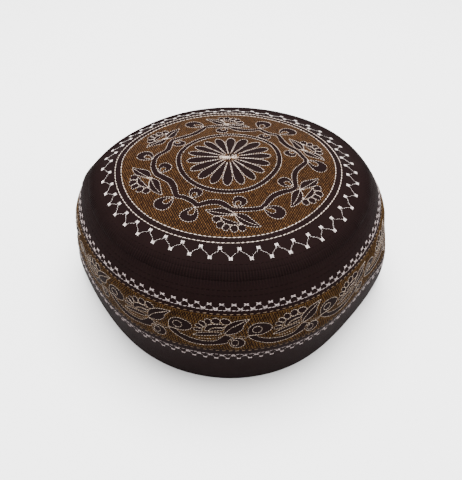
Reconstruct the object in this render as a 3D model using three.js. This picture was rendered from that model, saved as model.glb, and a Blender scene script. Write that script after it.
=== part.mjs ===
// Embroidered prayer cap, in millimetres, +Z up.
// A round crown panel is sewn to an upright side wall, and a puckered roll of
// cloth covers the join. The cap has been stored folded flat, so a crease runs
// from left to right across the crown. The origin is the centre of the hem,
// on the surface that the cap stands on. +X runs along the crease and +Y to the back.
import * as THREE from "three";

// Driving dimensions
const CAP_HEIGHT = 86;
const CLOTH = 2.0;
const GAP = 0.3;
const AZIMUTH_STEPS = 72;

// The crown sits a little to one side of the hem's centre
const CROWN_SHIFT = { x: -2.6, y: 2.2 };

// The crown as a low roof: its slopes in front of and behind the crease, how wide
// the crest is rounded, and how far it bows down across and along the crease
const ROOF = { front: 0.055, back: 0.162, crest: 4.0, cross: 0.00015, length: 0.00104 };

// Rings of the cap from the crown's centre to the hem.
//   along   distance down the cloth from the crown's centre
//   radius  plain radius
//   end     extra radius at the two ends of the crease
//   face    extra radius at the front and the back
//   level   height below the top of the crown
//   roof    share of the crown's roof shape that is left
//   lift    how far the two ends of the crease stand up
//   shift   share of the crown's sideways shift
const RINGS = [
  { along: 0, radius: 0, end: 0, face: 0, level: 0, roof: 1, lift: 0, shift: 1 },
  { along: 31.2, radius: 31.2, end: 0, face: 0, level: 0, roof: 1, lift: 0, shift: 1 },
  { along: 66.5, radius: 66.3, end: 0, face: 0, level: 0, roof: 1, lift: 0, shift: 1 },
  { along: 76.7, radius: 76.2, end: 0, face: 0, level: -2, roof: 0.95, lift: 0.3, shift: 0.7 },
  { along: 81, radius: 80, end: 0.3, face: 0.3, level: -5, roof: 0.7, lift: 1.5, shift: 0.5 },
  { along: 95, radius: 88.6, end: 1.2, face: 2.4, level: -19.3, roof: 0.2, lift: 1.2, shift: 0.3 },
  { along: 108, radius: 93, end: 3.5, face: 2.8, level: -32, roof: 0, lift: 0, shift: 0 },
  { along: 121, radius: 94.2, end: 5.5, face: 4.2, level: -44.5, roof: 0, lift: 0, shift: 0 },
  { along: 135.5, radius: 90.6, end: 8.4, face: 6.4, level: -57.5, roof: 0, lift: 0, shift: 0 },
  { along: 149, radius: 88.6, end: 9.8, face: 6.2, level: -72, roof: 0, lift: 0, shift: 0 },
  { along: 162, radius: 87.3, end: 9.8, face: 4.8, level: -CAP_HEIGHT, roof: 0, lift: 0, shift: 0 },
];

// Dents and bulges in the cloth: azimuth and half width in degrees, level and half
// height below the crown's top, and how far the cloth stands out or in
const FOLDS = [
  { azimuth: 180, width: 9, level: -13, height: 7, out: 2.2 },
  { azimuth: 0, width: 9, level: -13, height: 7, out: 0.7 },
  { azimuth: -38, width: 24, level: -40, height: 60, out: -2.0 },
  { azimuth: -125, width: 24, level: -60, height: 60, out: 1.1 },
  { azimuth: 55, width: 32, level: -14, height: 16, out: 3.0 },
];

// How sharply the ends of the crease and the front and back bulge
const END_POWER = 8;
const FACE_POWER = 3;

// The join between the crown and the wall, measured along the cloth
const PANEL_EDGE = 80.4;
const ROLL_WIDTH = 4.6;
const ROLL_THICKNESS = 3.0;
const ROLL_RISE = 0.5;
const ROLL_SIDES = 10;
const ROLL_MIDDLE = PANEL_EDGE + GAP + ROLL_WIDTH / 2;
const WALL_TOP = ROLL_MIDDLE + ROLL_WIDTH / 2 + GAP;
const HEM = RINGS[RINGS.length - 1].along;
const EDGE_ROUND = 0.5;

const PANEL_ROWS = [10, 20, 31.2, 42, 54, 66.5, 73, 77];
const WALL_ROWS = [91, 97, 104, 112, 121, 129, 136, 144, 153];

const degrees = THREE.MathUtils.degToRad;

// A smooth curve through one column of the rings that never overshoots them
function columnCurve(name) {
  const x = RINGS.map((ring) => ring.along);
  const y = RINGS.map((ring) => ring[name]);
  const last = x.length - 1;
  const step = (i) => x[i + 1] - x[i];
  const slope = (i) => (y[i + 1] - y[i]) / step(i);
  const tangents = x.map((_, i) => {
    if (i === 0) return slope(0);
    if (i === last) return slope(last - 1);
    const before = slope(i - 1);
    const after = slope(i);
    if (before * after <= 0) return 0;
    const near = 2 * step(i) + step(i - 1);
    const far = step(i) + 2 * step(i - 1);
    return (near + far) / (near / before + far / after);
  });
  return (along) => {
    let i = 0;
    while (i < last - 1 && along >= x[i + 1]) i += 1;
    const h = step(i);
    const t = (along - x[i]) / h;
    const start = (2 * t ** 3 - 3 * t ** 2 + 1) * y[i] + (t ** 3 - 2 * t ** 2 + t) * h * tangents[i];
    const end = (3 * t ** 2 - 2 * t ** 3) * y[i + 1] + (t ** 3 - t ** 2) * h * tangents[i + 1];
    return start + end;
  };
}

const column = {};
for (const name of ["radius", "end", "face", "level", "roof", "lift", "shift"]) {
  column[name] = columnCurve(name);
}

function roofHeight(x, y) {
  const slope = y > 0 ? ROOF.back : ROOF.front;
  const sides = slope * (Math.hypot(y, ROOF.crest) - ROOF.crest);
  return -sides - ROOF.cross * y * y - ROOF.length * x * x;
}

function foldDepth(azimuth, level) {
  let out = 0;
  for (const fold of FOLDS) {
    const turn = THREE.MathUtils.euclideanModulo(azimuth - fold.azimuth + 180, 360) - 180;
    const away = (turn / fold.width) ** 2 + ((level - fold.level) / fold.height) ** 2;
    out += fold.out * Math.exp(-away);
  }
  return out;
}

// A point of the cap's outer surface, from the distance along the cloth and the azimuth
function outer(along, azimuth) {
  const across = Math.cos(degrees(azimuth));
  const deep = Math.sin(degrees(azimuth));
  const level = column.level(along);
  const endShare = Math.abs(across) ** END_POWER;
  const faceShare = Math.abs(deep) ** FACE_POWER;
  const bulge = column.end(along) * endShare + column.face(along) * faceShare;
  const fold = along > 0 ? foldDepth(azimuth, level) : 0;
  const radius = column.radius(along) + bulge + fold;
  const x = radius * across;
  const y = radius * deep;
  const roof = column.roof(along) * roofHeight(x, y);
  const shift = column.shift(along);
  return new THREE.Vector3(
    x + shift * CROWN_SHIFT.x,
    y + shift * CROWN_SHIFT.y,
    CAP_HEIGHT + level + roof + column.lift(along) * endShare,
  );
}

function outward(along, azimuth) {
  const reach = 0.5;
  const low = Math.max(along - reach, reach);
  const down = outer(Math.min(low + 2 * reach, HEM), azimuth).sub(outer(low, azimuth));
  const round = outer(Math.max(along, reach), azimuth + 1).sub(outer(Math.max(along, reach), azimuth - 1));
  return down.cross(round).normalize();
}

// A point below the outer surface; at the hem it goes straight in, so the hem is flat
function inside(along, azimuth, depth) {
  const direction = outward(along, azimuth);
  if (along === HEM) direction.setZ(0).normalize();
  return outer(along, azimuth).addScaledVector(direction, -depth);
}

function ring(along, depth) {
  const points = [];
  for (let i = 0; i < AZIMUTH_STEPS; i += 1) {
    points.push(inside(along, (360 * i) / AZIMUTH_STEPS, depth));
  }
  return points;
}

// A closed mesh through rings of points, ended by two poles or joined round on itself
function skin(rings, poles) {
  const positions = [];
  const faces = [];
  const add = (point) => positions.push(point.x, point.y, point.z) / 3 - 1;
  const rows = rings.map((points) => points.map(add));
  const count = AZIMUTH_STEPS;
  const joins = poles ? rows.length - 1 : rows.length;
  for (let j = 0; j < joins; j += 1) {
    const here = rows[j];
    const next = rows[(j + 1) % rows.length];
    for (let i = 0; i < count; i += 1) {
      const k = (i + 1) % count;
      faces.push(here[i], next[i], next[k], here[i], next[k], here[k]);
    }
  }
  if (poles) {
    const first = add(poles[0]);
    const final = add(poles[1]);
    const ends = rows[rows.length - 1];
    for (let i = 0; i < count; i += 1) {
      const k = (i + 1) % count;
      faces.push(first, rows[0][i], rows[0][k], final, ends[k], ends[i]);
    }
  }
  const geometry = new THREE.BufferGeometry();
  geometry.setAttribute("position", new THREE.Float32BufferAttribute(positions, 3));
  geometry.setIndex(faces);
  geometry.computeVertexNormals();
  return geometry;
}

const darkCloth = new THREE.MeshStandardMaterial({ color: 0x2a1e1c, roughness: 0.85, metalness: 0 });
const rollCloth = new THREE.MeshStandardMaterial({ color: 0x231817, roughness: 0.9, metalness: 0 });
const goldCloth = new THREE.MeshStandardMaterial({ color: 0x6e4a22, roughness: 0.7, metalness: 0 });

// The rounded edge of a shell, from its outer face to its inner face
function edge(along, inwards) {
  return [
    ring(along + inwards * EDGE_ROUND, 0),
    ring(along, EDGE_ROUND),
    ring(along, CLOTH - EDGE_ROUND),
    ring(along + inwards * EDGE_ROUND, CLOTH),
  ];
}

function crownPanel() {
  const top = PANEL_ROWS.map((along) => ring(along, 0));
  const under = PANEL_ROWS.map((along) => ring(along, CLOTH)).reverse();
  const centre = outer(0, 0);
  const underCentre = centre.clone().setZ(centre.z - CLOTH);
  const mesh = new THREE.Mesh(skin([...top, ...edge(PANEL_EDGE, -1), ...under], [centre, underCentre]), goldCloth);
  mesh.name = "crown_panel";
  return mesh;
}

function seamRoll() {
  const rings = [];
  for (let i = 0; i < ROLL_SIDES; i += 1) {
    const turn = (2 * Math.PI * (i + 0.5)) / ROLL_SIDES;
    const along = ROLL_MIDDLE - (Math.cos(turn) * ROLL_WIDTH) / 2;
    rings.push(ring(along, ((1 - Math.sin(turn)) * ROLL_THICKNESS) / 2 - ROLL_RISE));
  }
  const mesh = new THREE.Mesh(skin(rings), rollCloth);
  mesh.name = "seam_roll";
  return mesh;
}

function sideWall() {
  const face = WALL_ROWS.map((along) => ring(along, 0));
  const back = WALL_ROWS.map((along) => ring(along, CLOTH)).reverse();
  const top = edge(WALL_TOP, 1).reverse();
  const rings = [...top, ...face, ring(HEM, 0), ring(HEM, CLOTH), ...back];
  const mesh = new THREE.Mesh(skin(rings), darkCloth);
  mesh.name = "side_wall";
  return mesh;
}

const cap = new THREE.Group();
cap.add(crownPanel(), seamRoll(), sideWall());

export default cap;
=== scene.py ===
import math

import bpy
import numpy as np
from mathutils import Matrix, Vector


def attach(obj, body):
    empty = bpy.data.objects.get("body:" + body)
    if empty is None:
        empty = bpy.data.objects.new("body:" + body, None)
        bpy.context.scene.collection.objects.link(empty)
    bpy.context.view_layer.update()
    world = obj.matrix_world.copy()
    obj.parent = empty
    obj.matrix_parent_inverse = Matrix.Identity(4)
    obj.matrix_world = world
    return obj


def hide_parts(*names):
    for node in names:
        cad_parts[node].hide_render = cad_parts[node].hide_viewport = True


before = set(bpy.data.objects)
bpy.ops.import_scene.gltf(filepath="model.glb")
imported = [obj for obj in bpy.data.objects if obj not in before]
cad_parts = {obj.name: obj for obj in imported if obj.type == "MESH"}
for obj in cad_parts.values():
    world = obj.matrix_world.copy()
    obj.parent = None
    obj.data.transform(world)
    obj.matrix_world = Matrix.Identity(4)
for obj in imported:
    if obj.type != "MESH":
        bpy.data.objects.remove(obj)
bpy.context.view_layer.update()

MM = 0.001
# millimetres in one degree round the cap, at the seam and at the band
SEAM_MM = 1.45
BAND_MM = 1.62
rng = np.random.default_rng(7)

# How the cap's cloth lies, in millimetres: the same rings as the solids have.
# A place on the cloth is its distance down the cloth from the crown's middle, and its azimuth in degrees.
CAP_HEIGHT = 86.0
CLOTH = 2.0
CROWN_SHIFT = (-2.6, 2.2)
ROOF_FRONT = 0.055
ROOF_BACK = 0.162
ROOF_CREST = 4.0
ROOF_CROSS = 0.00015
ROOF_LENGTH = 0.00104
END_POWER = 8
FACE_POWER = 3
ROLL_MIDDLE = 83.0
# along, radius, end, face, level, roof, lift, shift
RINGS = np.array([
    (0, 0, 0, 0, 0, 1, 0, 1),
    (31.2, 31.2, 0, 0, 0, 1, 0, 1),
    (66.5, 66.3, 0, 0, 0, 1, 0, 1),
    (76.7, 76.2, 0, 0, -2, 0.95, 0.3, 0.7),
    (81, 80, 0.3, 0.3, -5, 0.7, 1.5, 0.5),
    (95, 88.6, 1.2, 2.4, -19.3, 0.2, 1.2, 0.3),
    (108, 93, 3.5, 2.8, -32, 0, 0, 0),
    (121, 94.2, 5.5, 4.2, -44.5, 0, 0, 0),
    (135.5, 90.6, 8.4, 6.4, -57.5, 0, 0, 0),
    (149, 88.6, 9.8, 6.2, -72, 0, 0, 0),
    (162, 87.3, 9.8, 4.8, -86, 0, 0, 0),
], float)
# azimuth, width, level, height, out; the last eight are small dents and swells that the solids leave out
FOLDS = (
    (180, 9, -13, 7, 2.2), (0, 9, -13, 7, 0.7), (-38, 24, -40, 60, -2.0), (-125, 24, -60, 60, 1.1),
    (55, 32, -14, 16, 3.0), (145, 28, -11, 8, -3.2), (-18, 9, -51, 15, 2.4), (38, 21, -9, 15, 1.8),
    (-10, 20, -35, 23, -2.2), (-160, 32, -43, 9, -2.8), (-22, 26, -43, 9, -2.0), (-4, 14, -76, 18, 4.4),
    (-177, 13, -76, 18, 3.6),
)


def through_rings(along):
    """Reads the RINGS table between its rows, with no overshoot."""
    key, rows = RINGS[:, 0], RINGS[:, 1:]
    gap = np.diff(key)
    slope = np.diff(rows, axis=0) / gap[:, None]
    bend = np.zeros_like(rows)
    bend[0], bend[-1] = slope[0], slope[-1]
    for i in range(1, len(key) - 1):
        a, b, before, after = slope[i - 1], slope[i], gap[i - 1], gap[i]
        same = a * b > 0
        spread = (2 * after + before) / np.where(same, a, 1) + (after + 2 * before) / np.where(same, b, 1)
        bend[i] = np.where(same, 3 * (before + after) / np.where(same, spread, 1), 0)
    i = np.clip(np.searchsorted(key, along, side="right") - 1, 0, len(gap) - 1)
    t = ((along - key[i]) / gap[i])[:, None]
    reach = gap[i][:, None]
    return ((2 * t**3 - 3 * t**2 + 1) * rows[i] + (t**3 - 2 * t**2 + t) * reach * bend[i]
            + (3 * t**2 - 2 * t**3) * rows[i + 1] + (t**3 - t**2) * reach * bend[i + 1])


def outer(along, azimuth):
    """Points on the cloth's outer face, in millimetres."""
    along, azimuth = np.broadcast_arrays(np.asarray(along, float), np.asarray(azimuth, float))
    radius, end, face, level, roof, lift, shift = through_rings(along.ravel()).T
    turn = np.radians(azimuth.ravel())
    cos, sin = np.cos(turn), np.sin(turn)
    radius = radius + end * np.abs(cos)**END_POWER + face * np.abs(sin)**FACE_POWER
    for middle, width, height, tall, out in FOLDS:
        away = (azimuth.ravel() - middle + 180) % 360 - 180
        bulge = out * np.exp(-(away / width)**2 - ((level - height) / tall)**2)
        radius = radius + np.where(along.ravel() > 0, bulge, 0)
    x, y = radius * cos, radius * sin
    pitch = np.where(y > 0, ROOF_BACK, ROOF_FRONT)
    top = -pitch * (np.sqrt(y * y + ROOF_CREST**2) - ROOF_CREST) - ROOF_CROSS * y * y - ROOF_LENGTH * x * x
    height = CAP_HEIGHT + level + roof * top + lift * np.abs(cos)**END_POWER
    return np.stack([x + shift * CROWN_SHIFT[0], y + shift * CROWN_SHIFT[1], height], -1)


NEAREST_MIDDLE = 0.6
STEP_ROUND = 0.2
STEP_DOWN = 0.3


def outward(along, azimuth):
    """The direction straight out of the cloth."""
    along = np.maximum(np.asarray(along, float), NEAREST_MIDDLE)
    round_it = outer(along, azimuth + STEP_ROUND) - outer(along, azimuth - STEP_ROUND)
    down_it = outer(along + STEP_DOWN, azimuth) - outer(along - STEP_DOWN, azimuth)
    normal = np.cross(down_it, round_it)
    return normal / np.linalg.norm(normal, axis=1)[:, None]


def on_cloth(along, azimuth, lift=0.0):
    """Points on the cloth or above it, in metres."""
    return (outer(along, azimuth) + outward(along, azimuth) * np.reshape(lift, (-1, 1))) * MM


# Objects and their finish
def deselect():
    if bpy.context.object and bpy.context.object.mode != "OBJECT":
        bpy.ops.object.mode_set(mode="OBJECT")
    bpy.ops.object.select_all(action="DESELECT")


def made(name):
    piece = bpy.context.object
    piece.name = name
    piece.data.name = name
    return piece


def finish_piece(piece, slot, material, *nodes):
    piece.data.materials.clear()
    piece.data.materials.append(material)
    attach(piece, "root")
    if nodes:
        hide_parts(*nodes)
    return piece


def smooth(piece):
    piece.data.polygons.foreach_set("use_smooth", [True] * len(piece.data.polygons))
    piece.data.update()


# Materials
def shader(name):
    material = bpy.data.materials.new(name)
    material.use_nodes = True
    return material, material.node_tree.nodes, material.node_tree.links


def node(nodes, kind, **settings):
    made_node = nodes.new(kind)
    for key, value in settings.items():
        if key in made_node.inputs:
            made_node.inputs[key].default_value = value
        else:
            setattr(made_node, key, value)
    return made_node


def cloth_material():
    material, nodes, links = shader("dark woven cloth")
    body = nodes["Principled BSDF"]
    body.inputs["Roughness"].default_value = 0.8
    body.inputs["Specular IOR Level"].default_value = 0.02
    body.inputs["Sheen Weight"].default_value = 0.013
    body.inputs["Sheen Roughness"].default_value = 0.25
    body.inputs["Sheen Tint"].default_value = (0.8, 0.7, 0.7, 1)
    uv = node(nodes, "ShaderNodeUVMap", uv_map="cloth")
    warp = node(nodes, "ShaderNodeTexWave", bands_direction="X", Scale=0.62, Distortion=0.6)
    weft = node(nodes, "ShaderNodeTexWave", bands_direction="Y", Scale=0.55, Distortion=0.6)
    blotch = node(nodes, "ShaderNodeTexNoise", Scale=0.09, Detail=4.0)
    fuzz = node(nodes, "ShaderNodeTexNoise", Scale=1.6, Detail=2.0)
    for texture in (warp, weft, blotch, fuzz):
        links.new(uv.outputs[0], texture.inputs["Vector"])
    weave = node(nodes, "ShaderNodeMath", operation="MULTIPLY")
    links.new(warp.outputs["Fac"], weave.inputs[0])
    links.new(weft.outputs["Fac"], weave.inputs[1])
    shade = node(nodes, "ShaderNodeMix", data_type="RGBA")
    shade.inputs["A"].default_value = (0.0055, 0.0025, 0.0024, 1)
    shade.inputs["B"].default_value = (0.0088, 0.0042, 0.0041, 1)
    links.new(blotch.outputs["Fac"], shade.inputs["Factor"])
    lint = node(nodes, "ShaderNodeMix", data_type="RGBA", blend_type="MULTIPLY")
    lint.inputs["Factor"].default_value = 0.45
    links.new(shade.outputs["Result"], lint.inputs["A"])
    links.new(fuzz.outputs["Color"], lint.inputs["B"])
    crease_bump_and_shade = seam_gathers(nodes, links)
    # painted shade: the cloth's colour darkens towards this near-black in the seam's creases, where shade
    # would fall
    crease = node(nodes, "ShaderNodeMix", data_type="RGBA")
    crease.inputs["B"].default_value = (0.0016, 0.0009, 0.0009, 1)
    links.new(crease_bump_and_shade, crease.inputs["Factor"])
    links.new(lint.outputs["Result"], crease.inputs["A"])
    links.new(crease.outputs["Result"], body.inputs["Base Color"])
    relief = node(nodes, "ShaderNodeBump", Strength=0.35, Distance=0.0002)
    links.new(weave.outputs[0], relief.inputs["Height"])
    folds = node(nodes, "ShaderNodeBump", Strength=0.6, Distance=0.0004, invert=True)
    links.new(crease_bump_and_shade, folds.inputs["Height"])
    links.new(relief.outputs[0], folds.inputs["Normal"])
    links.new(folds.outputs[0], body.inputs["Normal"])
    return material


def seam_gathers(nodes, links):
    """Soft creases that cross the seam and die out in the cloth on both sides of it: a mask that raises
    their bump and darkens the cloth's colour in them as painted shade.
    """
    uv = node(nodes, "ShaderNodeUVMap", uv_map="seam")
    parts = node(nodes, "ShaderNodeSeparateXYZ")
    links.new(uv.outputs[0], parts.inputs[0])
    away = node(nodes, "ShaderNodeMath", operation="ABSOLUTE")
    links.new(parts.outputs["Y"], away.inputs[0])
    near = node(nodes, "ShaderNodeMapRange", interpolation_type="SMOOTHSTEP")
    near.inputs["From Min"].default_value = 1.5
    near.inputs["From Max"].default_value = 6.5
    near.inputs["To Min"].default_value = 0.55
    near.inputs["To Max"].default_value = 0.0
    links.new(away.outputs[0], near.inputs["Value"])
    creases = node(nodes, "ShaderNodeTexWave", bands_direction="X", Scale=0.21, Distortion=2.2, Detail=1.0)
    links.new(uv.outputs[0], creases.inputs["Vector"])
    both = node(nodes, "ShaderNodeMath", operation="MULTIPLY")
    links.new(near.outputs["Result"], both.inputs[0])
    links.new(creases.outputs["Fac"], both.inputs[1])
    return both.outputs[0]


TWIST = 2.0


def thread_material(name, dark, light, specular=0.05, roughness=0.5):
    """Stitched thread: each stitch has its own tone, and the twist of the yarn runs slanting across it."""
    material, nodes, links = shader(name)
    body = nodes["Principled BSDF"]
    body.inputs["Roughness"].default_value = roughness
    body.inputs["Specular IOR Level"].default_value = specular
    tone = node(nodes, "ShaderNodeAttribute", attribute_name="tone")
    ramp = node(nodes, "ShaderNodeMix", data_type="RGBA")
    ramp.inputs["A"].default_value = (*dark, 1)
    ramp.inputs["B"].default_value = (*light, 1)
    links.new(tone.outputs["Fac"], ramp.inputs["Factor"])
    uv = node(nodes, "ShaderNodeUVMap", uv_map="thread")
    strands = node(nodes, "ShaderNodeTexWave", bands_direction="DIAGONAL", Scale=TWIST, Distortion=0.4)
    links.new(uv.outputs[0], strands.inputs["Vector"])
    shade = node(nodes, "ShaderNodeMix", data_type="RGBA", blend_type="MULTIPLY")
    shade.inputs["Factor"].default_value = 0.3
    links.new(ramp.outputs["Result"], shade.inputs["A"])
    links.new(strands.outputs["Color"], shade.inputs["B"])
    links.new(shade.outputs["Result"], body.inputs["Base Color"])
    relief = node(nodes, "ShaderNodeBump", Strength=0.4, Distance=0.0001)
    links.new(strands.outputs["Fac"], relief.inputs["Height"])
    links.new(relief.outputs[0], body.inputs["Normal"])
    return material


cloth_finish = cloth_material()
gold_finish = thread_material("gold fill thread", (0.030, 0.0128, 0.0036), (0.092, 0.0415, 0.0128), 0.03)
# painted shade: the band's gold is a darker copy of the crown's gold, for the wall that gets less light
shaded_band_gold_finish = thread_material("band fill thread, painted shade", (0.020, 0.0092, 0.0024), (0.066, 0.0325, 0.0088),
                                   0.02)
pale_gold_finish = thread_material("pale gold thread", (0.12, 0.08, 0.05), (0.20, 0.14, 0.09))
white_finish = thread_material("white knot thread", (0.60, 0.52, 0.49), (0.94, 0.85, 0.82))
outline_finish = thread_material("ivory outline thread", (0.44, 0.355, 0.30), (0.88, 0.73, 0.64))
# painted shade: the band's outlines and borders are darker copies of the crown's white thread, for the wall
# that faces away from the light
shaded_band_outline_finish = thread_material("band outline thread, painted shade", (0.23, 0.18, 0.145), (0.46, 0.37, 0.30))
shaded_border_finish = thread_material("border thread, painted shade", (0.24, 0.195, 0.19), (0.48, 0.40, 0.39))
dark_thread_finish = thread_material("dark thread", (0.0020, 0.0012, 0.0011), (0.0042, 0.0024, 0.0022),
                                     0.01, 0.8)


MEETING = 0.00001


def points_of(mesh):
    points = np.zeros(len(mesh.vertices) * 3)
    mesh.vertices.foreach_get("co", points)
    return points.reshape(-1, 3)


def write_uv(mesh, layer, places):
    """Gives each corner of the layer its point's place."""
    corner = np.zeros(len(mesh.loops), int)
    mesh.loops.foreach_get("vertex_index", corner)
    layer.data.foreach_set("uv", places[corner].astype(np.float32).ravel())


def close_up(piece):
    """Joins the points that meet, at the back and in the crown's middle, and turns the faces outwards."""
    deselect()
    piece.select_set(True)
    bpy.context.view_layer.objects.active = piece
    bpy.ops.object.mode_set(mode="EDIT")
    bpy.ops.mesh.select_all(action="SELECT")
    bpy.ops.mesh.remove_doubles(threshold=MEETING)
    bpy.ops.mesh.normals_make_consistent(inside=False)
    bpy.ops.object.mode_set(mode="OBJECT")


# The cloth: flat grids, rolled round the cap, closed at the back and given their thickness
def cloth_piece(name, rows, columns, flat_uv, material, cad_node):
    """A grid whose rows are (along, depth) places down the cloth, from its middle or top to its edge."""
    deselect()
    bpy.ops.mesh.primitive_grid_add(x_subdivisions=columns, y_subdivisions=len(rows) - 1, size=2)
    piece = made(name)
    mesh = piece.data
    flat = points_of(mesh)
    table = np.array(rows, float)
    row = np.rint((1 - flat[:, 1]) / 2 * (len(rows) - 1)).astype(int)
    azimuth = flat[:, 0] * 180
    place = on_cloth(table[row, 0], azimuth, -table[row, 1])
    mesh.vertices.foreach_set("co", place.ravel())
    uv = mesh.uv_layers[0]
    uv.name = "cloth"
    write_uv(mesh, uv, flat_uv(table[row, 0], azimuth))
    write_uv(mesh, mesh.uv_layers.new(name="seam"), seam_uv(table[row, 0], azimuth))
    close_up(piece)
    wall = piece.modifiers.new("thickness", "SOLIDIFY")
    wall.thickness = CLOTH * MM
    wall.offset = -1
    bpy.ops.object.modifier_apply(modifier="thickness")
    smooth(piece)
    return finish_piece(piece, "dark_cloth", material, cad_node)


def seam_uv(along, azimuth):
    return np.stack([azimuth * SEAM_MM, along - ROLL_MIDDLE], -1)


def crown_uv(along, azimuth):
    turn = np.radians(azimuth)
    return np.stack([along * np.cos(turn), along * np.sin(turn)], -1)


def wall_uv(along, azimuth):
    return np.stack([azimuth * BAND_MM, along], -1)


# The rows of each cloth: plain ones, and those that turn its edges in, as (along, depth)
CROWN_COLUMNS = 360
CROWN_PLAIN = np.linspace(0, 80.2, 46)
CROWN_EDGE = ((81.0, 0.05), (81.4, 0.25), (81.55, 0.7), (81.55, 1.5))
WALL_COLUMNS = 480
WALL_EDGE = ((84.45, 1.5), (84.45, 0.7), (84.6, 0.25), (85.0, 0.05))
WALL_PLAIN = np.linspace(86, 160.6, 57)
HEM_EDGE = ((161.3, 0.05), (161.8, 0.25), (162, 0.7))

crown_rows = [*((along, 0) for along in CROWN_PLAIN), *CROWN_EDGE]
cloth_piece("crown_cloth", crown_rows, CROWN_COLUMNS, crown_uv, cloth_finish, "crown_panel")
wall_rows = [*WALL_EDGE, *((along, 0) for along in WALL_PLAIN), *HEM_EDGE]
cloth_piece("side_cloth", wall_rows, WALL_COLUMNS, wall_uv, cloth_finish, "side_wall")


# The rolled seam between crown and wall, gathered into fine puckers
ROLL_WIDTH = 5.3
ROLL_THICKNESS = 2.6
ROLL_RISE = 0.35
ROLL_SQUARE = 0.7
PUCKERS = 330
PUCKER_DEPTH = 0.3
PUCKER_COLUMNS = 6
ROLL_SIDES = 16
ROLL_UV = 0.035


def rolled_seam():
    deselect()
    columns = PUCKERS * PUCKER_COLUMNS
    bpy.ops.mesh.primitive_grid_add(x_subdivisions=columns, y_subdivisions=ROLL_SIDES, size=2)
    piece = made("rolled_seam")
    mesh = piece.data
    flat = points_of(mesh)
    azimuth = flat[:, 0] * 180
    turn = flat[:, 1] * math.pi
    wander = 0.35 * np.sin(np.radians(azimuth * 17)) + 0.3 * np.sin(np.radians(azimuth * 41 + 40))
    crease = np.cos(np.radians(azimuth * PUCKERS) + wander * 2.2 + 0.5 * np.sin(turn))
    depth = PUCKER_DEPTH * (0.75 + 0.25 * np.sin(np.radians(azimuth * 29)))
    gather = 1 - depth * np.maximum(0, crease)**2 / (ROLL_THICKNESS / 2)
    seam = np.full(len(azimuth), ROLL_MIDDLE)
    middle = outer(seam, azimuth)
    out = outward(seam, azimuth)
    down = outer(seam + 0.5, azimuth) - outer(seam - 0.5, azimuth)
    down /= np.linalg.norm(down, axis=1)[:, None]
    square_up = np.sign(np.cos(turn)) * np.abs(np.cos(turn))**ROLL_SQUARE
    square_down = np.sign(np.sin(turn)) * np.abs(np.sin(turn))**ROLL_SQUARE
    rise = square_up * ROLL_THICKNESS / 2 * gather + ROLL_RISE - ROLL_THICKNESS / 2
    place = middle + out * rise[:, None] - down * (square_down * ROLL_WIDTH / 2)[:, None]
    mesh.vertices.foreach_set("co", (place * MM).ravel())
    uv = mesh.uv_layers[0]
    uv.name = "cloth"
    write_uv(mesh, uv, np.stack([azimuth * SEAM_MM, np.degrees(turn) * ROLL_UV], -1))
    places = seam_uv(ROLL_MIDDLE - square_down * ROLL_WIDTH / 2, azimuth)
    write_uv(mesh, mesh.uv_layers.new(name="seam"), places)
    close_up(piece)
    smooth(piece)
    return finish_piece(piece, "dark_cloth", cloth_finish, "seam_roll")


rolled_seam()


# One stitch, modelled once: a short thread, round on top, whose ends dive into the cloth
STITCH_END = 0.49
STITCH_DIVE = 0.4


def model_stitch(sides, shoulder):
    deselect()
    bpy.ops.mesh.primitive_cylinder_add(vertices=sides, radius=0.5, depth=1, end_fill_type="TRIFAN",
                                        rotation=(0, math.pi / 2, 0))
    bpy.ops.object.transform_apply(rotation=True)
    piece = made("stitch_pattern")
    bpy.ops.object.mode_set(mode="EDIT")
    for place in (shoulder, -shoulder):
        bpy.ops.mesh.select_all(action="SELECT")
        bpy.ops.mesh.bisect(plane_co=(place, 0, 0), plane_no=(1, 0, 0))
    for end in (1, -1):
        bpy.ops.mesh.select_all(action="DESELECT")
        bpy.ops.object.mode_set(mode="OBJECT")
        for vertex in piece.data.vertices:
            vertex.select = vertex.co.x * end > STITCH_END
        bpy.ops.object.mode_set(mode="EDIT")
        bpy.ops.mesh.merge(type="CENTER")
        bpy.ops.transform.translate(value=(0, 0, -STITCH_DIVE))
    bpy.ops.object.mode_set(mode="OBJECT")
    points = np.array([v.co for v in piece.data.vertices])
    faces = [tuple(p.vertices) for p in piece.data.polygons]
    bpy.data.objects.remove(piece)
    return points, faces


FLAT_STITCH = model_stitch(4, 0.36)
ROUND_STITCH = model_stitch(6, 0.24)


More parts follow.
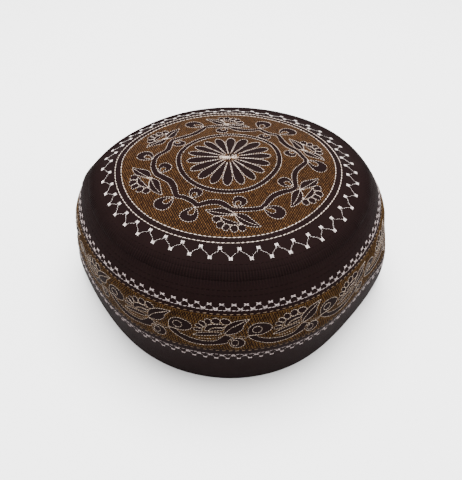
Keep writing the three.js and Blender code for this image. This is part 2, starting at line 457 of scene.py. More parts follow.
def lay_stitches(name, pattern, middle, line, out, length, width, height, tone, slot, material):
    """Copies the stitch to every place: its middle, its line, the way out of the cloth, and its sizes."""
    points, faces = pattern
    count = len(middle)
    across = np.cross(out, line)
    across /= np.linalg.norm(across, axis=1)[:, None]
    place = (middle[:, None, :]
             + points[None, :, 0, None] * (line * length[:, None])[:, None, :]
             + points[None, :, 1, None] * (across * width[:, None])[:, None, :]
             + points[None, :, 2, None] * (out * height[:, None])[:, None, :]) * MM
    sizes = np.array([len(f) for f in faces])
    corners = np.array([i for f in faces for i in f])
    all_corners = (corners[None, :] + (np.arange(count) * len(points))[:, None]).ravel()
    all_sizes = np.tile(sizes, count)
    mesh = bpy.data.meshes.new(name)
    mesh.vertices.add(count * len(points))
    mesh.vertices.foreach_set("co", place.astype(np.float32).ravel())
    mesh.loops.add(len(all_corners))
    mesh.loops.foreach_set("vertex_index", all_corners.astype(np.int32))
    mesh.polygons.add(len(all_sizes))
    starts = np.concatenate([[0], np.cumsum(all_sizes)[:-1]])
    mesh.polygons.foreach_set("loop_start", starts.astype(np.int32))
    mesh.polygons.foreach_set("use_smooth", np.ones(len(all_sizes), bool))
    mesh.update(calc_edges=True)
    own = mesh.attributes.new("tone", "FLOAT", "POINT")
    own.data.foreach_set("value", np.repeat(tone, len(points)).astype(np.float32))
    uv = mesh.uv_layers.new(name="thread")
    along = points[None, :, 0] * length[:, None] + rng.random(count)[:, None] * 5
    over = np.broadcast_to(points[None, :, 1], along.shape) * width[:, None]
    thread = np.stack([along.ravel(), over.ravel()], -1)[all_corners]
    uv.data.foreach_set("uv", thread.astype(np.float32).ravel())
    piece = bpy.data.objects.new(name, mesh)
    bpy.context.scene.collection.objects.link(piece)
    return finish_piece(piece, slot, material)


# Drawing on the cloth
def spline(points, closed, steps=8):
    """A smooth line through the points."""
    p = np.asarray(points, float)
    ends = (p[-1:], p[:2]) if closed else (2 * p[:1] - p[1:2], 2 * p[-1:] - p[-2:-1])
    q = np.concatenate([ends[0], p, ends[1]])
    spans = range(len(p)) if closed else range(len(p) - 1)
    t = np.linspace(0, 1, steps, endpoint=False)[:, None]
    line = []
    for i in spans:
        a, b, c, d = q[i:i + 4]
        line.append(0.5 * (2 * b + (c - a) * t + (2 * a - 5 * b + 4 * c - d) * t**2
                           + (3 * b - a - 3 * c + d) * t**3))
    line.append(p[:1] if closed else p[-1:])
    return np.concatenate(line)


def pointed(points, steps=8):
    """A closed smooth line whose first point is a sharp tip."""
    return spline([*points, points[0]], False, steps)


def turned(points, turn, across=0.0, down=0.0):
    c, s = math.cos(math.radians(turn)), math.sin(math.radians(turn))
    p = np.asarray(points, float)
    return np.stack([p[:, 0] * c - p[:, 1] * s + across, p[:, 0] * s + p[:, 1] * c + down], -1)


def placed(points, azimuth, along, turn, mm_per_degree):
    """Local millimetres, across and down the cloth, set down at a place and turned."""
    p = turned(points, turn)
    return np.stack([along + p[:, 1], azimuth + p[:, 0] / mm_per_degree], -1)


def on_crown(points, azimuth, along, turn, mirror):
    """Flat millimetres, aside and outwards, set down at a place on the crown, turned, perhaps mirrored."""
    p = turned(points, turn)
    away = along + p[:, 1]
    beside = p[:, 0] * mirror
    return np.stack([np.hypot(away, beside), azimuth + np.degrees(np.arctan2(beside, away))], -1)


def circle(along, steps=720):
    azimuth = np.linspace(-180, 180, steps + 1)
    return np.stack([np.full(len(azimuth), float(along)), azimuth], -1)


def stations(line, pitch):
    """Middles and directions of stitches of one pitch along a line of (along, azimuth) places."""
    place = outer(line[:, 0], line[:, 1])
    reach = np.concatenate([[0], np.cumsum(np.linalg.norm(np.diff(place, axis=0), axis=1))])
    count = max(1, int(round(reach[-1] / pitch)))
    middle = (np.arange(count) + 0.5) * reach[-1] / count
    half = reach[-1] / count * 0.35
    spot = np.stack([np.interp(middle, reach, line[:, k]) for k in (0, 1)], -1)
    ahead = np.stack([np.interp(middle + half, reach, place[:, k]) for k in range(3)], -1)
    behind = np.stack([np.interp(middle - half, reach, place[:, k]) for k in range(3)], -1)
    way = ahead - behind
    way /= np.maximum(np.linalg.norm(way, axis=1), 1e-9)[:, None]
    return spot, way, np.full(count, reach[-1] / count)


# degrees in one radian
DEGREES = 57.3


class Threads:
    """Collects the stitches of one piece before they are laid together."""

    def __init__(self):
        self.rows = []

    def add(self, spot, way, length, width, height, lift=0.0, slant=0.0, jitter=0.06):
        out = outward(spot[:, 0], spot[:, 1])
        way = way - out * np.sum(way * out, axis=1)[:, None]
        way /= np.linalg.norm(way, axis=1)[:, None]
        side = np.cross(out, way)
        turn = np.radians(slant) + rng.normal(0, jitter, len(way))
        way = way * np.cos(turn)[:, None] + side * np.sin(turn)[:, None]
        middle = outer(spot[:, 0], spot[:, 1]) + out * np.reshape(np.broadcast_to(lift, len(spot)), (-1, 1))
        sizes = [np.broadcast_to(np.asarray(size, float), len(spot)) for size in (length, width, height)]
        self.rows.append((middle, way, out, *sizes))

    def rope(self, line, pitch, width, height, cover, slant, lift=0.05):
        """A line of slanting stitches, each overlapping the next a little."""
        spot, way, step = stations(line, pitch)
        thick = 1 + rng.normal(0, 0.08, len(step))
        length = step * cover * (1 + rng.normal(0, 0.05, len(step)))
        self.add(spot, way, length, width * thick, height * thick, lift, slant)

    def knot(self, along, azimuth, size, spread, waist, threads, width, height, lift=0.2):
        """A bow-tie of satin threads, drawn together at its middle."""
        along, azimuth = np.broadcast_arrays(np.asarray(along, float), np.asarray(azimuth, float))
        way = outer(along, azimuth + 0.3) - outer(along, azimuth - 0.3)
        way /= np.linalg.norm(way, axis=1)[:, None]
        for place in np.linspace(-1, 1, threads):
            spot = np.stack([along + place * waist, azimuth], -1)
            reach = size * (1 + rng.normal(0, 0.05, len(spot)))
            for end in (-1, 1):
                half = spot + (0, 0)
                half[:, 1] += end * size / 4 / np.maximum(half[:, 0], 1) * DEGREES
                half[:, 0] += place * size / 4 * math.tan(math.radians(spread))
                self.add(half, way, reach * 0.6, width, height, lift, -end * place * spread, 0.05)

    def lay(self, name, pattern, slot, material):
        columns = [np.concatenate(column) for column in zip(*self.rows)]
        tone = np.clip(rng.normal(0.5, 0.25, len(columns[0])), 0, 1)
        return lay_stitches(name, pattern, *columns, tone, slot, material)


# The rows of a filled field, cut where they meet the drawing
GOLD_PITCH = 0.68
GOLD_STEP = 2.7
GOLD_STRAY = 0.1
GOLD_HEIGHT = 0.36
GOLD_COVER = 1.05
GOLD_GAP = 1.1
GOLD_LEAN = 0.04
GOLD_LIFT = 0.06
SHORTEST_RUN = 0.45
SHORTEST_STITCH = 0.8
SHORTEST_THREAD = 0.3


def less(runs, start, end):
    """The runs without the stretch from start to end."""
    left = []
    for a, b in runs:
        if end <= a or start >= b:
            left.append((a, b))
            continue
        if start > a:
            left.append((a, start))
        if end < b:
            left.append((end, b))
    return left


def fill_rows(fields, islands, windows, pitch, step, lean):
    """Straight rows of stitches over the fields, less the islands, but again in the islands' windows.
    Outlines are in flat millimetres. The rows run along y, leaning; every other row is half a stitch on."""
    edges = []
    for number, line in enumerate([*fields, *islands, *windows]):
        closed = np.concatenate([line, line[:1]])
        x = closed[:, 0] - lean * closed[:, 1]
        y = closed[:, 1]
        edges.append(np.stack([x[:-1], y[:-1], x[1:], y[1:], np.full(len(line), number)], -1))
    edges = np.concatenate(edges)
    low, high = edges[:, 0].min(), edges[:, 0].max()
    ends = []
    for count, x in enumerate(np.arange(low + pitch / 2, high, pitch)):
        e = edges[(edges[:, 0] <= x) != (edges[:, 2] <= x)]
        y = e[:, 1] + (x - e[:, 0]) / (e[:, 2] - e[:, 0]) * (e[:, 3] - e[:, 1])
        order = np.lexsort((y, e[:, 4]))
        y, number = y[order], e[order, 4]
        spans = [(y[i], y[i + 1], number[i]) for i in range(0, len(y) - 1, 2)]
        runs = [(a, b) for a, b, n in spans if n < len(fields)]
        for a, b, n in spans:
            if len(fields) <= n < len(fields) + len(islands):
                runs = less(runs, a, b)
        runs += [(a, b) for a, b, n in spans if n >= len(fields) + len(islands)]
        offset = (count % 2) / 2 * step + rng.normal(0, GOLD_STRAY)
        for a, b in runs:
            if b - a < SHORTEST_RUN:
                continue
            first = math.ceil((a - offset) / step) * step + offset
            inside = [m for m in np.arange(first, b, step) if min(m - a, b - m) > SHORTEST_STITCH]
            marks = [a, *inside, b]
            ends += [(x + lean * c, c, x + lean * d, d) for c, d in zip(marks[:-1], marks[1:])]
    return np.array(ends)


def flat_to_crown(ends):
    """Flat millimetres on the crown, as (along, azimuth)."""
    x, y = ends.T
    return np.stack([np.hypot(x, y), np.degrees(np.arctan2(y, x))], -1)


def crown_to_flat(line):
    turn = np.radians(line[:, 1])
    return np.stack([line[:, 0] * np.cos(turn), line[:, 0] * np.sin(turn)], -1)


def fill(threads, start, end, width, height):
    """Lays a stitch between each two places."""
    a, b = outer(start[:, 0], start[:, 1]), outer(end[:, 0], end[:, 1])
    way = b - a
    length = np.linalg.norm(way, axis=1)
    keep = length > SHORTEST_THREAD
    way, length = way[keep], length[keep]
    turn = (end[keep, 1] - start[keep, 1] + 180) % 360 - 180
    spot = np.stack([(start[keep, 0] + end[keep, 0]) / 2, start[keep, 1] + turn / 2], -1)
    reach = np.maximum(length - GOLD_GAP, 0.5)
    threads.add(spot, way / length[:, None], reach, width, height, GOLD_LIFT, jitter=0.03)


# The crown's drawing
# azimuth, along, turn, mirror
FLOWERS = ((-85.1, 47.1, 0, 1), (-31.9, 48.3, -27.5, -1), (18.1, 46.4, -50, 1), (94.0, 46.6, 2, 1),
           (147.2, 47.6, -27.5, -1), (-157.4, 47.3, -43, 1))
# where it leaves the vine: azimuth, along; its far end: azimuth, along
OUTER_BERRIES = (
    (-131.0, 44.6, -132.8, 56.3), (-112.3, 44.6, -113.2, 56.0), (-65.0, 45.6, -55.5, 55.0),
    (2.3, 46.2, -6.6, 56.8), (47.8, 44.8, 46.2, 58.0), (64.8, 44.6, 67.0, 57.4),
    (112.2, 45.8, 121.5, 56.4), (181.0, 44.8, 172.5, 54.0),
)
INNER_BERRIES = (
    (-161.0, 41.4, -170.5, 35.0), (-119.4, 39.4, -120.4, 31.2), (-84.5, 41.2, -77.0, 34.2),
    (-32.0, 43.2, -31.2, 34.4), (17.5, 40.6, 10.0, 34.2), (54.5, 39.2, 53.0, 30.8),
    (94.5, 41.2, 100.5, 33.6), (147.5, 40.6, 152.5, 32.8),
)
# azimuth, along, half width
VINE = (
    (-170, 44.2, 1.5), (-161, 43.2, 1.7), (-155, 40.8, 1.9), (-148, 38.7, 1.9), (-141, 38.9, 1.9),
    (-135, 40.8, 1.7), (-130, 42.6, 1.5), (-126, 41.3, 1.5), (-121, 41.0, 1.6), (-116, 41.6, 1.5),
    (-112, 42.9, 1.5), (-108, 40.6, 1.7), (-103, 38.6, 1.9), (-97, 38.2, 1.9), (-92, 39.8, 1.8),
    (-87, 43.0, 1.6), (-80, 43.6, 1.4), (-73, 44.4, 1.4), (-66, 45.0, 1.4), (-61, 43.2, 1.5),
    (-55, 41.3, 1.7), (-49, 41.0, 1.7), (-42, 42.3, 1.6), (-36, 44.6, 1.4), (-31.5, 45.1, 1.3),
    (-27, 43.0, 1.4), (-20, 40.6, 1.6), (-13, 40.3, 1.6), (-7, 42.0, 1.5), (-1, 44.8, 1.3),
    (3, 45.2, 1.3), (9, 43.6, 1.4), (17, 42.2, 1.5), (23, 39.8, 1.8), (30, 38.2, 1.9), (37, 38.6, 1.9),
    (43, 40.8, 1.6), (48, 42.5, 1.4), (54, 41.0, 1.5), (60, 41.5, 1.5), (64.5, 42.8, 1.4),
    (70, 39.7, 1.7), (77, 37.8, 1.9), (84, 38.5, 1.9), (89, 41.0, 1.6), (93, 43.2, 1.4),
    (100, 43.8, 1.4), (107, 44.6, 1.3), (111, 44.6, 1.3), (116, 41.8, 1.5), (122, 39.7, 1.7),
    (129, 38.9, 1.7), (136, 39.5, 1.7), (142, 41.0, 1.5), (147, 42.4, 1.3), (152, 41.6, 1.4),
    (158, 39.8, 1.6), (165, 38.6, 1.7), (170, 39.6, 1.6), (175, 41.8, 1.5), (181, 43.4, 1.4),
)
VINE_MM = 0.73
# across and outwards, from where the leaves meet; a leaf's first point is its tip
LEAF_LEFT = ((-15.4, -4.8), (-12.8, -4.8), (-8.6, -5.3), (-5.0, -5.3), (-2.4, -3.5), (-0.4, -0.5),
             (-4.2, 0.0), (-6.8, 0.1), (-9.9, 0.1), (-13.0, -1.9))
LEAF_RIGHT = ((13.0, 9.0), (11.0, 6.5), (8.6, 3.6), (6.0, 0.5), (3.2, -0.6), (0.3, -0.3), (0.6, 2.3),
              (2.7, 6.1), (6.1, 8.3), (10.2, 9.1))
RIB_LEFT = ((-13.6, -3.8), (-9.3, -2.5), (-5.7, -1.4), (-0.8, -0.4))
RIB_RIGHT = ((0.4, 0.4), (3.4, 3.1), (6.6, 5.6), (10.6, 7.8))
CRESCENT = ((2.8, 6.7), (0.1, 5.6), (-2.9, 3.9), (-4.8, 2.9), (-6.3, 2.0), (-7.3, 1.9), (-6.8, 3.6),
            (-5.8, 5.1), (-3.6, 6.7), (-0.2, 7.3))
STEM_LEFT = ((-0.5, 0.0), (-3.2, 0.7), (-5.4, 0.7), (-7.2, 1.3))
STEM_RIGHT = ((0.1, 0.4), (0.3, 2.2), (1.3, 4.4), (2.6, 6.4))
FLOWER_PETALS = (
    ((-12.1, 2.4), (-11.5, 0.9), (-10.2, 0.3), (-8.6, 0.5), (-7.4, 1.6), (-7.5, 3.3), (-8.8, 4.4),
     (-10.7, 4.7)),
    ((-9.6, 4.6), (-8.0, 4.0), (-6.4, 4.7), (-5.8, 6.0), (-6.5, 7.8), (-7.9, 9.0), (-9.6, 8.4),
     (-10.2, 6.6)),
    ((-5.6, 6.1), (-4.1, 6.6), (-2.9, 7.7), (-3.5, 9.2), (-5.1, 11.0), (-6.6, 10.3), (-7.2, 8.8),
     (-6.6, 7.2)),
    ((-3.2, 9.6), (-2.7, 8.2), (-1.5, 7.4), (-0.2, 7.5), (0.8, 8.8), (0.7, 10.6), (-0.4, 11.9),
     (-2.0, 12.1)),
    ((1.0, 8.0), (2.2, 7.3), (3.8, 7.3), (4.9, 8.5), (5.0, 10.2), (3.9, 11.5), (2.2, 11.5), (1.1, 10.3)),
)
# across, outwards, stitch
FLOWER_KNOTS = ((0.0, -0.2, 1.7), (2.6, 6.6, 1.1), (-1.6, 0.1, 1.1))
# the berries' widths, and millimetres in one degree round the crown where they lie
OUTER_WIDTH = 9.4
OUTER_MM = 0.88
INNER_WIDTH = 7.9
INNER_MM = 0.65
BERRY_BLUNT = 0.3
# the gold window in a berry
WINDOW_BLUNT = 0.7
WINDOW_LENGTH = 0.56
WINDOW_WIDTH = 0.36
# distance from the crown's middle, half width
ROSETTE_PETAL = ((4.6, 0.5), (8, 1.22), (12, 1.95), (16, 2.5), (19.5, 2.75), (22.3, 2.2), (24, 1.2),
                 (24.7, 0))
ROSETTE_COUNT = 18
ROSETTE_START = -91.5
ROSETTE_PART = 11.5
# the doubled lines between the petals: where they start, half the angle between them at both ends
ROSETTE_MIDDLE = 3.4
ROSETTE_GAP_IN = 1.6
ROSETTE_GAP_OUT = 1.2
RING_D = 28.1
RING_C = 30.9
RING_B = 62.9
RING_A = 66.5
HUB_THREADS = 28
HUB_WIDE = 4.6
HUB_DEEP = 1.5
# how far out the hub's two heaps lie, how far their threads splay, and their sizes
HUB_SHARES = (0.95, 0.45)
HUB_SPLAY = 2.2
HUB_SHORT = 1.4
HUB_LONGER = 2.6
HUB_STRAY = 0.15
HUB_THREAD = 0.2
HUB_HEIGHT = 0.24
HUB_LIFT = 0.16
HUB_SLOPE = 0.1
ZIGZAG = 45
ZIGZAG_START = -12.8
ZIGZAG_IN = 70.3
ZIGZAG_OUT = 75.4
# where the drawing strays: azimuth, width, further round, further out
ZIGZAG_STRAY = ((-42, 24, -1.7, 1.6), (-125, 32, 0.5, -1.2), (-162, 12, 2.2, -1.2),
                (10, 13, -2.2, -1.6), (38, 14, 0.3, -0.8))

# How each kind of line and knot is stitched; cover is a stitch's length as a share of its pitch
DRAWN_LINE = {"pitch": 1.5, "width": 0.21, "height": 0.17, "cover": 0.84, "slant": 14}
PETAL_LINE = {"pitch": 1.5, "width": 0.22, "height": 0.19, "cover": 0.95, "slant": 12}
INNER_RING = {"pitch": 1.7, "width": 0.23, "height": 0.19, "cover": 0.88, "slant": 8}
OUTER_RING = {"pitch": 2.48, "width": 0.42, "height": 0.32, "cover": 0.74, "slant": 7}
RING_LINK = {"pitch": 2.48, "width": 0.13, "height": 0.13, "cover": 1.3, "slant": 0}
ZIGZAG_LINE = {"pitch": 1.5, "width": 0.12, "height": 0.12, "cover": 1.15, "slant": 13}
BAND_LINE = {"pitch": 1.4, "width": 0.21, "height": 0.16, "cover": 1.02, "slant": 10}
BORDER_ZIGZAG = {"pitch": 1.6, "width": 0.12, "height": 0.14, "cover": 0.8, "slant": 14}
BORDER_LINE = {"pitch": 2.2, "width": 0.21, "height": 0.2, "cover": 1.0, "slant": 6}
PALE_LINE = {"pitch": 3.3, "width": 0.24, "height": 0.24, "cover": 0.7, "slant": 3}
DARK_LINE = {"pitch": 2.6, "width": 0.24, "height": 0.16, "cover": 0.85, "slant": 3, "lift": 0.0}
FLOWER_KNOT = {"spread": 40, "waist": 0.3, "threads": 3, "width": 0.24, "height": 0.28}
ZIGZAG_KNOT = {"size": 2.0, "spread": 20, "waist": 0.44, "threads": 4, "width": 0.38, "height": 0.36}
BORDER_KNOT = {"size": 2.5, "spread": 20, "waist": 0.12, "threads": 3, "width": 0.26, "height": 0.22}


def drop(length, width, blunt, steps=24):
    """A drop's outline from its tip at the origin to its round end, down; blunt is 0 for an oval."""
    t = np.linspace(0, 2 * math.pi, steps, endpoint=False)
    down = (1 - np.cos(t)) / 2
    across = np.sin(t) * down**blunt
    return np.stack([across / np.abs(across).max() * width / 2, down * length], -1)


def reaching(shape_width, blunt, start, end, mm_per_degree, length_share=1.0):
    """A drop on the cloth from one (azimuth, along) place towards another."""
    across = (end[0] - start[0]) * mm_per_degree
    down = end[1] - start[1]
    turn = math.degrees(math.atan2(-across, down))
    shape = drop(math.hypot(across, down) * length_share, shape_width, blunt)
    return placed(shape, start[0], start[1], turn, mm_per_degree)


def closed_line(line):
    return np.concatenate([line, line[:1]])


def vine_sides():
    """The two edges of the vine all the way round."""
    rows = [(along, azimuth, half) for azimuth, along, half in VINE]
    before = [(a, b - 360, h) for a, b, h in rows[-1:]]
    after = [(a, b + 360, h) for a, b, h in rows[:2]]
    steps = 6
    line = spline(before + rows + after, False, steps)[steps:-steps]
    step = np.gradient(line[:, :2], axis=0) * (1, VINE_MM)
    step /= np.linalg.norm(step, axis=1)[:, None]
    side = np.stack([step[:, 1], -step[:, 0] / VINE_MM], -1) * line[:, 2:3]
    return line[:, :2] - side, line[:, :2] + side


def crown_shapes():
    """The shapes that the crown's gold leaves free, the windows filled again, the lines and the knots."""
    islands, windows, lines, knots = [], [], [], []
    for place in FLOWERS:
        closed = [pointed(LEAF_LEFT), pointed(LEAF_RIGHT), pointed(CRESCENT)]
        closed += [spline(petal, True, 4) for petal in FLOWER_PETALS]
        closed = [on_crown(shape, *place) for shape in closed]
        islands += closed
        lines += closed
        for shape in (RIB_LEFT, RIB_RIGHT, STEM_LEFT, STEM_RIGHT):
            lines.append(on_crown(spline(shape, False), *place))
        for across, outwards, stitch in FLOWER_KNOTS:
            knots.append((*on_crown([(across, outwards)], *place)[0], stitch))
    berry_rows = ((OUTER_BERRIES, OUTER_WIDTH, OUTER_MM), (INNER_BERRIES, INNER_WIDTH, INNER_MM))
    for berries, width, scale in berry_rows:
        for a, b, c, d in berries:
            body = reaching(width, BERRY_BLUNT, (a, b), (c, d), scale)
            window = reaching(width * WINDOW_WIDTH, WINDOW_BLUNT, (a, b), (c, d), scale, WINDOW_LENGTH)
            islands.append(body)
            windows.append(window)
            lines += [closed_line(body), closed_line(window)]
    vine_inner, vine_outer = vine_sides()
    islands.append(np.concatenate([vine_outer, vine_inner[::-1]]))
    lines += [vine_inner, vine_outer]
    return islands, windows, lines, knots


def rosette():
    """The petals' edges, and the lines of thread along them and between them."""
    petals, lines = [], []
    reach = np.array([distance for distance, half_width in ROSETTE_PETAL], float)
    half = np.degrees(np.arctan2([half_width for distance, half_width in ROSETTE_PETAL], reach))
    for count in range(ROSETTE_COUNT):
        middle = ROSETTE_START + count * 360 / ROSETTE_COUNT
        there = np.stack([reach, middle - half], -1)
        back = np.stack([reach[:-1], middle + half[:-1]], -1)[::-1]
        petal = spline(np.concatenate([there, back]), False, 6)
        petals.append(petal)
        lines.append(petal[petal[:, 0] > ROSETTE_PART])
        part = middle + 180 / ROSETTE_COUNT
        for side in (-1, 1):
            inner, outermost = part + side * ROSETTE_GAP_IN, part + side * ROSETTE_GAP_OUT
            lines.append(np.array([(ROSETTE_MIDDLE, inner), (ROSETTE_PART + 0.6, outermost)]))
    return petals, lines


def lay_crown_gold(islands, windows, petals):
    """Straight rows that run from front to back, outside the inner rings and inside them."""
    gold = Threads()
    fields = ((RING_B, [circle(RING_C, 360), *islands], windows), (RING_D, petals, []))
    for ring, shapes, openings in fields:
        shapes = [crown_to_flat(line) for line in shapes]
        openings = [crown_to_flat(line) for line in openings]
        field = crown_to_flat(circle(ring, 360))
        ends = fill_rows([field], shapes, openings, GOLD_PITCH, GOLD_STEP, GOLD_LEAN)
        width = GOLD_PITCH * GOLD_COVER
        fill(gold, flat_to_crown(ends[:, :2]), flat_to_crown(ends[:, 2:]), width, GOLD_HEIGHT)
    gold.lay("crown_gold", FLAT_STITCH, "gold_thread", gold_finish)


def lay_crown_white(lines, petal_lines, knots):
    white = Threads()
    for line in lines:
        white.rope(line, **DRAWN_LINE)
    for line in petal_lines:
        white.rope(line, **PETAL_LINE)
    for ring in (RING_D, RING_C):
        white.rope(circle(ring), **INNER_RING)
    for ring in (RING_B, RING_A):
        white.rope(circle(ring), **OUTER_RING)
        white.rope(circle(ring), **RING_LINK)
    for along, azimuth, stitch in knots:
        white.knot([along], [azimuth], stitch, **FLOWER_KNOT)
    # the hub: threads that cross the middle, in a long low heap
    hub = np.linspace(0, 2 * math.pi, HUB_THREADS, endpoint=False)
    for share in HUB_SHARES:
        across, deep = share * HUB_WIDE * np.cos(hub), share * HUB_DEEP * np.sin(hub)
        spot = np.stack([np.hypot(across, deep), np.degrees(np.arctan2(deep, across))], -1)
        splay = HUB_SPLAY * HUB_DEEP * np.sin(hub)
        way = np.stack([HUB_WIDE * np.cos(hub), splay, np.zeros(len(hub))], -1)
        length = (HUB_SHORT + HUB_LONGER * np.abs(np.cos(hub))) * (1 + rng.normal(0, HUB_STRAY, len(hub)))
        white.add(spot, way, length, HUB_THREAD, HUB_HEIGHT, HUB_LIFT - share * HUB_SLOPE)
    white.lay("crown_white", ROUND_STITCH, "white_thread", outline_finish)


def strayed(along, azimuth):
    """A place of the zigzag, moved as the drawing strays there."""
    along, azimuth = np.broadcast_arrays(np.asarray(along, float), np.asarray(azimuth, float))
    place = np.stack([along, azimuth], -1)
    for middle, width, turn, out in ZIGZAG_STRAY:
        share = np.exp(-(((azimuth - middle + 180) % 360 - 180) / width)**2)
        place = place + share[:, None] * (out, turn)
    return place


def lay_zigzag():
    """The crown's zigzag, with a bow-tie knot at each point."""
    zigzag = Threads()
    inner_az = ZIGZAG_START + np.arange(ZIGZAG) * 360 / ZIGZAG
    outer_az = inner_az + 180 / ZIGZAG
    for row, azimuths in ((ZIGZAG_IN, inner_az), (ZIGZAG_OUT, outer_az)):
        zigzag.knot(*strayed(row, azimuths).T, **ZIGZAG_KNOT)
    for a, b in zip(inner_az, outer_az):
        for start, end in ((a + 0.35, b - 0.5), (a + 360 / ZIGZAG - 0.35, b + 0.5)):
            line = np.array([(ZIGZAG_IN + 1.0, start), (ZIGZAG_IN + 2.0, (2 * start + end) / 3),
                             (ZIGZAG_IN + 2.8, (start + 2 * end) / 3), (ZIGZAG_OUT - 0.9, end)])
            zigzag.rope(spline(strayed(*line.T), False, 4), **ZIGZAG_LINE)
    zigzag.lay("crown_zigzag", ROUND_STITCH, "white_thread", white_finish)


crown_islands, crown_windows, crown_lines, crown_knots = crown_shapes()
rosette_petals, rosette_lines = rosette()
lay_crown_gold(crown_islands, crown_windows, rosette_petals)
lay_crown_white(crown_lines, rosette_lines, crown_knots)
lay_zigzag()

# The side band's drawing, one repeat: across and along, in millimetres
BAND_START = -94.4
BAND_REPEATS = 15
BAND_TOP = 99.7
BAND_LOW = 123.0
BAND_VINE = (
    (-22.6, 113.2), (-20.4, 115.7), (-16.5, 118.0), (-12.6, 119.6), (-8.0, 120.2), (-3.0, 119.8),
    (1.8, 118.8), (6.2, 117.3), (6.8, 115.6), (8.4, 113.9), (7.0, 112.8), (5.0, 112.2), (3.2, 113.9),
    (1.2, 115.7), (-0.8, 116.6), (-5.4, 117.1), (-10.3, 116.6), (-14.0, 115.7), (-17.1, 114.5),
    (-19.2, 112.8),
)
BAND_CURL = (
    (-22.4, 112.6), (-22.9, 109.8), (-22.2, 107.2), (-19.8, 105.5), (-17.2, 105.1), (-14.4, 105.6),
    (-12.0, 106.9), (-11.0, 108.8), (-11.9, 110.8), (-14.4, 112.2), (-17.1, 112.8), (-19.2, 112.6),
)
BAND_CUP = ((-4.9, 110.2), (-4.4, 107.8), (-3.2, 106.2), (-0.8, 105.4), (2.8, 105.3), (5.0, 106.2),
            (3.8, 107.2), (0.4, 107.4), (-2.0, 108.6), (-3.1, 110.0))
BAND_CUP_IN = ((-3.1, 110.2), (-1.7, 108.9), (0.7, 107.8), (3.5, 107.6), (3.9, 108.8), (1.6, 109.5),
               (-1.9, 110.2))
BAND_UNDER = ((-10.6, 113.8), (-8.4, 112.5), (-5.5, 111.5), (-0.7, 110.8), (2.1, 110.7), (3.7, 111.2),
              (1.7, 112.3), (-3.1, 113.2), (-7.9, 114.0))
BAND_UNDER_OUT = ((-10.4, 114.1), (-7.9, 115.3), (-4.2, 115.4), (-0.6, 114.8), (2.9, 113.4),
                  (4.8, 112.0))
BAND_LEAF = ((16.9, 102.4), (11.3, 103.0), (7.6, 104.4), (5.2, 106.6), (4.4, 109.1), (5.0, 111.7),
             (7.6, 111.6), (10.7, 110.6), (13.2, 108.4), (14.1, 105.5))
BAND_LEAF_RIB = ((5.0, 111.3), (6.6, 108.8), (9.2, 106.5), (12.4, 104.7), (15.4, 103.0))
BAND_LINK = ((5.2, 111.8), (8.8, 112.4), (11.2, 112.8), (14.6, 113.2), (16.6, 113.0))
BAND_LINK_LOW = ((8.4, 114.0), (10.2, 113.9), (12.7, 114.2), (15.2, 114.2), (16.6, 113.4))
# across, along, turn, length, width
BAND_PETALS = ((-7.9, 110.0, 88, 4.6, 2.0), (-7.4, 107.6, 108, 4.2, 2.4), (-5.9, 105.9, 130, 4.0, 2.7),
               (-3.2, 104.4, 150, 3.9, 3.2), (0.6, 103.7, 180, 3.8, 4.0), (5.2, 103.7, -168, 3.5, 4.9))
# across, along, half its width, half its height
BAND_BERRY = (11.0, 117.5, 3.7, 3.3)
BAND_RINGS = ((9.9, 117.4, 1.7, 1.9), (-18.4, 109.2, 2.3, 2.1))


def oval(across, along, wide, tall, steps=28):
    t = np.linspace(0, 2 * math.pi, steps, endpoint=False)
    return np.stack([across + np.sin(t) * wide, along - np.cos(t) * tall], -1)


def band_shapes():
    """The repeat's closed shapes, and all its lines, in local millimetres."""
    closed = [pointed(s) for s in (BAND_CUP, BAND_CUP_IN, BAND_UNDER, BAND_LEAF)]
    for across, along, turn, length, width in BAND_PETALS:
        closed.append(turned(drop(length, width, 0.15) - (0, length / 2), turn, across, along))
    closed += [oval(*BAND_BERRY), spline(BAND_VINE, True, 6), spline(BAND_CURL, True, 6)]
    lines = [closed_line(s) for s in closed] + [closed_line(oval(*ring)) for ring in BAND_RINGS]
    lines += [spline(s, False) for s in (BAND_UNDER_OUT, BAND_LEAF_RIB, BAND_LINK, BAND_LINK_LOW)]
    return closed, lines


# The band's gold: stitches in a row of one repeat, and the rows' lean
BAND_ROWS = 58
BAND_LEAN = -0.22
BAND_MIDDLE = 110


def lay_band():
    """The band's gold and its drawing, repeated all the way round."""
    closed, lines = band_shapes()
    repeat = 360 / BAND_REPEATS * BAND_MM
    pitch = repeat / BAND_ROWS
    left = -repeat / 2 - BAND_LEAN * BAND_MIDDLE
    right = repeat / 2 - BAND_LEAN * BAND_MIDDLE
    corners = [(left, BAND_TOP), (right, BAND_TOP), (right, BAND_LOW), (left, BAND_LOW)]
    field = np.array([(x + BAND_LEAN * y, y) for x, y in corners])
    islands = [shape + (shift, 0) for shape in closed for shift in (-repeat, 0, repeat)]
    ends = fill_rows([field], islands, [], pitch, GOLD_STEP, BAND_LEAN)
    gold = Threads()
    white = Threads()
    for azimuth in BAND_START + np.arange(BAND_REPEATS) * 360 / BAND_REPEATS:
        start = np.stack([ends[:, 1], azimuth + ends[:, 0] / BAND_MM], -1)
        end = np.stack([ends[:, 3], azimuth + ends[:, 2] / BAND_MM], -1)
        fill(gold, start, end, pitch * GOLD_COVER, GOLD_HEIGHT)
        for line in lines:
            white.rope(placed(line, azimuth, 0, 0, BAND_MM), **BAND_LINE)
    gold.lay("band_gold", FLAT_STITCH, "gold_thread", shaded_band_gold_finish)
    white.lay("band_white", ROUND_STITCH, "white_thread", shaded_band_outline_finish)


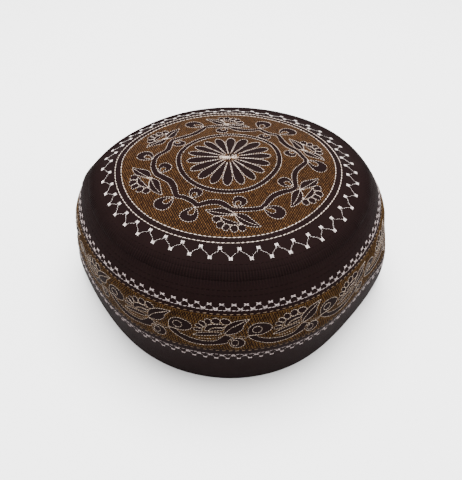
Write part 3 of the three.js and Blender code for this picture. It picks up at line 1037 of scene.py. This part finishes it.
# The two borders of the band: bow-ties, zigzag lines and the straight line between
# knots round the cap, azimuth of one, rows of far knots, near knots and line
UPPER_BORDER = (95, -95.9, 94.6, 96.8, 97.6)
LOWER_BORDER = (104, -86.9, 133.7, 129.6, 128.3)
BORDER_GAP = 0.3


def lay_borders():
    border = Threads()
    for count, start, far_row, near_row, line_row in (UPPER_BORDER, LOWER_BORDER):
        far = start + np.arange(count) * 360 / count
        near = far + 180 / count
        for row, azimuths in ((far_row, far), (near_row, near)):
            border.knot(row, azimuths, **BORDER_KNOT)
        for a in far:
            for end in (-1, 1):
                ends = [(far_row, a + end * BORDER_GAP), (near_row, a + end * (180 / count - BORDER_GAP))]
                border.rope(np.array(ends), **BORDER_ZIGZAG)
        border.rope(circle(line_row), **BORDER_LINE)
    border.lay("band_borders", ROUND_STITCH, "white_thread", shaded_border_finish)


def lay_rows(name, rows, kind, slot, material):
    """Straight rows of stitches round the cap."""
    threads = Threads()
    for row in rows:
        threads.rope(circle(row), **kind)
    threads.lay(name, ROUND_STITCH, slot, material)


lay_band()
lay_borders()
lay_rows("band_pale_lines", (99.6, 123.7), PALE_LINE, "gold_thread", pale_gold_finish)
# rows in the cloth's own colour, by the seam
lay_rows("seam_stitching", (77.9, 88.6, 90.9), DARK_LINE, "dark_cloth", dark_thread_finish)


# Floor, light and camera
FLOOR_SIZE = 6
LIGHT_AIM = (0, 0, 0.05)


def floor():
    deselect()
    bpy.ops.mesh.primitive_plane_add(size=FLOOR_SIZE)
    ground = made("floor")
    material, nodes, links = shader("pale floor")
    body = nodes["Principled BSDF"]
    body.inputs["Base Color"].default_value = (0.93, 0.93, 0.93, 1)
    body.inputs["Roughness"].default_value = 0.9
    ground.data.materials.append(material)


def soft_light(name, place, size, power):
    lamp = bpy.data.lights.new(name, "AREA")
    lamp.shape = "DISK"
    lamp.size = size
    lamp.energy = power
    holder = bpy.data.objects.new(name, lamp)
    holder.location = place
    holder.rotation_euler = (Vector(LIGHT_AIM) - Vector(place)).to_track_quat("-Z", "Y").to_euler()
    bpy.context.scene.collection.objects.link(holder)


floor()
soft_light("overhead", (0.0, 0.25, 1.3), 1.2, 74)
soft_light("from the left", (-1.1, -0.5, 0.8), 0.7, 3.5)
soft_light("from the right", (1.1, -0.2, 0.7), 0.7, 6)
world = bpy.data.worlds.new("studio")
world.use_nodes = True
world.node_tree.nodes["Background"].inputs["Color"].default_value = (1, 1, 1, 1)
world.node_tree.nodes["Background"].inputs["Strength"].default_value = 1.3
bpy.context.scene.world = world

# The camera: where the crown's middle stands in the picture, and how the camera leans
IMAGE = (462, 480)
MIDDLE_PIXEL = (229.2, 157.3)
AXIS_PIXEL = (231, 240)
FOCAL_PIXELS = 506
LEAN_DOWN = 45.0
ROLL = 1.4
DISTANCE = 299.25
SENSOR = 36.0


def camera():
    lean, roll = math.radians(LEAN_DOWN), math.radians(ROLL)
    ahead = Vector((0, math.cos(lean), -math.sin(lean)))
    up = Vector((0, math.sin(lean), math.cos(lean)))
    right = Vector((1, 0, 0))
    right, up = math.cos(roll) * right + math.sin(roll) * up, math.cos(roll) * up - math.sin(roll) * right
    line = (ahead + right * (MIDDLE_PIXEL[0] - AXIS_PIXEL[0]) / FOCAL_PIXELS
            - up * (MIDDLE_PIXEL[1] - AXIS_PIXEL[1]) / FOCAL_PIXELS).normalized()
    target = Vector((*CROWN_SHIFT, CAP_HEIGHT))
    lens = bpy.data.cameras.new("camera")
    lens.sensor_fit = "VERTICAL"
    lens.sensor_height = SENSOR
    lens.lens = SENSOR * FOCAL_PIXELS / IMAGE[1]
    lens.clip_start = 0.01
    holder = bpy.data.objects.new("camera", lens)
    bpy.context.scene.collection.objects.link(holder)
    turn = Matrix((right, up, -ahead)).transposed().to_4x4()
    holder.matrix_world = Matrix.Translation((target - line * DISTANCE) * MM) @ turn
    bpy.context.scene.camera = holder


camera()
